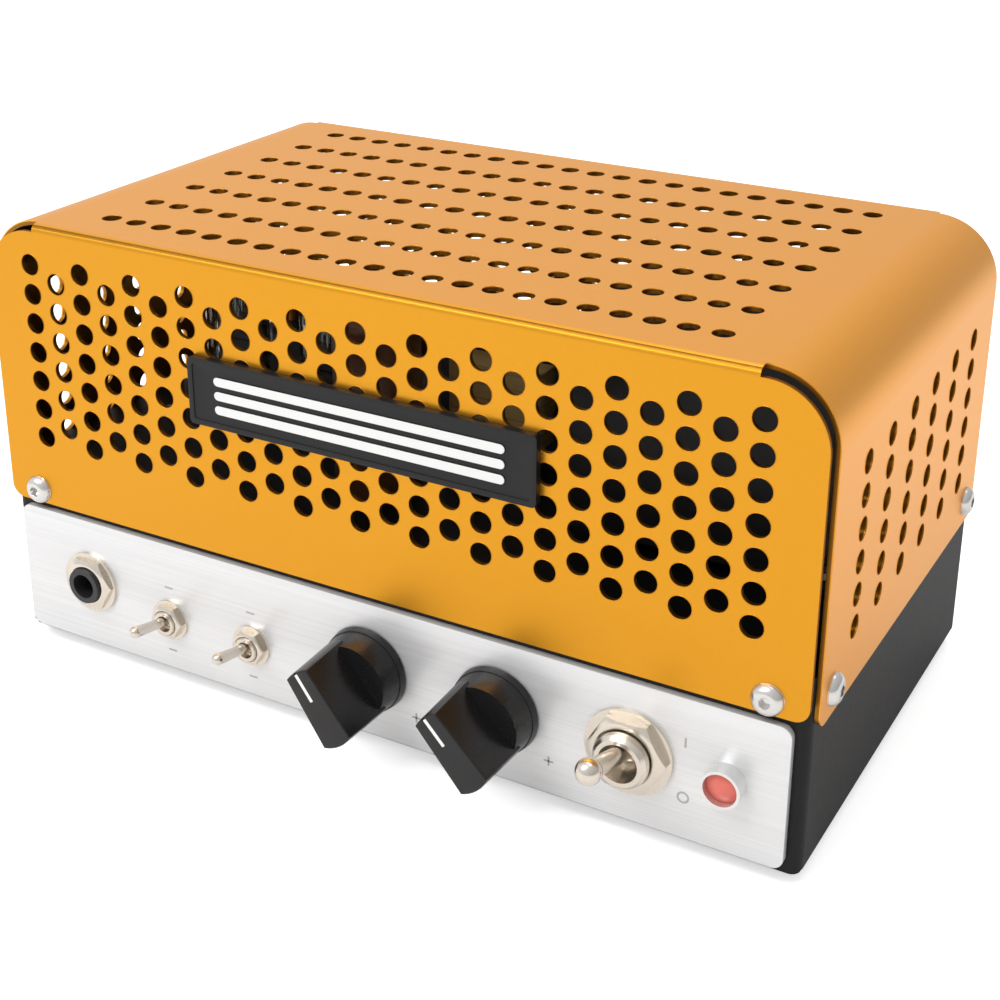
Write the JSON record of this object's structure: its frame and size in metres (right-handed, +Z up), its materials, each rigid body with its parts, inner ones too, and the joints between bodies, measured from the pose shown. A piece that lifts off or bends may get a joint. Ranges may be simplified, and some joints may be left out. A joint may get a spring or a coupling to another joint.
{
  "type": "guitar amplifier head",
  "caption": "Small valve guitar amplifier head with a perforated gold cover over a black chassis, knobs, toggle switches, pilot lamp and jack sockets.",
  "frame": {"origin": "on the floor at the centre of the overall width and depth", "axes": "+X towards the power switch end, -Y out of the front panel, +Z up"},
  "size_m": [0.226, 0.1506, 0.1183],
  "materials": {
    "gold_anodised": "brushed anodised",
    "screw_steel": "polished",
    "zinc_steel": "zinc plated",
    "badge_black": "satin",
    "chassis_black": "fine texture powder coat",
    "feet_rubber": "matte",
    "faceplate_silver": "brushed anodised",
    "nickel": "bright nickel",
    "knob_black": "satin",
    "white_ink": "matte",
    "black_plastic": "matte",
    "lens_red": "clear",
    "led_red": "clear",
    "fuse_body": "nickel-plated",
    "lamination": "varnished",
    "bell_black": "gloss enamel",
    "winding_paper": "varnished tape",
    "glass_clear": "clear",
    "electrode_grey": "carbonised",
    "ceramic_white": "matte",
    "board_green": "solder mask",
    "capacitor_sleeve": "shrink sleeve",
    "can_sleeve": "shrink sleeve",
    "resistor_blue": "lacquer",
    "wire_black": "matte",
    "wire_blue": "matte",
    "wire_brown": "matte"
  },
  "bodies": {
    "case": {"badge_nuts": "zinc_steel", "badge_plate": "badge_black", "board_capacitors": "capacitor_sleeve", "bottom_plate": "chassis_black", "bottom_screws": "bell_black", "can_capacitor": "can_sleeve", "chassis": "chassis_black", "circuit_board": "board_green", "control_washers": "nickel", "cover": "gold_anodised", "cover_screws": "screw_steel", "deck_grommets": "feet_rubber", "deck_screws": "zinc_steel", "faceplate": "faceplate_silver", "feet": "feet_rubber", "inlet_fixings": "zinc_steel", "inlet_pins": "zinc_steel", "jack_bodies": "black_plastic", "jack_nuts": "nickel", "jack_washers": "nickel", "mains_inlet": "black_plastic", "mains_wires": "wire_brown", "output_transformer_coil": "winding_paper", "output_transformer_core": "lamination", "output_transformer_frame": "zinc_steel", "output_wires": "wire_blue", "pilot_bezel": "nickel", "pilot_led": "led_red", "pilot_lens": "lens_red", "pilot_nut": "zinc_steel", "pot_bodies": "zinc_steel", "pot_nuts": "nickel", "power_switch_body": "nickel", "power_switch_nut": "nickel", "power_switch_washer": "nickel", "power_transformer_bells": "bell_black", "power_transformer_bolts": "zinc_steel", "power_transformer_coil": "winding_paper", "power_transformer_core": "lamination", "resistors": "resistor_blue", "rivet_nuts": "zinc_steel", "signal_wires": "wire_black", "standoffs": "zinc_steel", "toggle_bodies": "nickel", "toggle_nuts": "nickel", "tube_electrodes": "electrode_grey", "tube_glass": "glass_clear", "tube_sockets": "ceramic_white"},
    "gain_control": {"gain_knob": "knob_black", "gain_shaft": "nickel", "gain_line": "white_ink"},
    "volume_control": {"volume_knob": "knob_black", "volume_shaft": "nickel", "volume_line": "white_ink"},
    "toggle_a": {"toggle_a_lever": "nickel"},
    "toggle_b": {"toggle_b_lever": "nickel"},
    "power_toggle": {"power_lever": "nickel"},
    "fuse_holder": {"fuse_drawer": "black_plastic", "fuse": "fuse_body"}
  },
  "joints": [
    {"name": "gain_turn", "type": "hinge", "parent": "case", "child": "gain_control", "pos_m": [0.00125, -0.06122, 0.0231], "axis": [0, -1, 0], "range_deg": [-171, 99]},
    {"name": "volume_turn", "type": "hinge", "parent": "case", "child": "volume_control", "pos_m": [0.0365, -0.06122, 0.0231], "axis": [0, -1, 0], "range_deg": [-178, 92]},
    {"name": "toggle_a_throw", "type": "hinge", "parent": "case", "child": "toggle_a", "pos_m": [-0.0586, -0.05182, 0.0192], "axis": [1, 0, 0], "range_deg": [0, 25]},
    {"name": "toggle_b_throw", "type": "hinge", "parent": "case", "child": "toggle_b", "pos_m": [-0.033, -0.05182, 0.0192], "axis": [1, 0, 0], "range_deg": [0, 25]},
    {"name": "power_throw", "type": "hinge", "parent": "case", "child": "power_toggle", "pos_m": [0.0699, -0.05022, 0.0231], "axis": [1, 0, 0], "range_deg": [0, 34.6]},
    {"name": "fuse_drawer_slide", "type": "slide", "parent": "case", "child": "fuse_holder", "axis": [0, 1, 0], "range_m": [0, 0.016]}
  ]
}
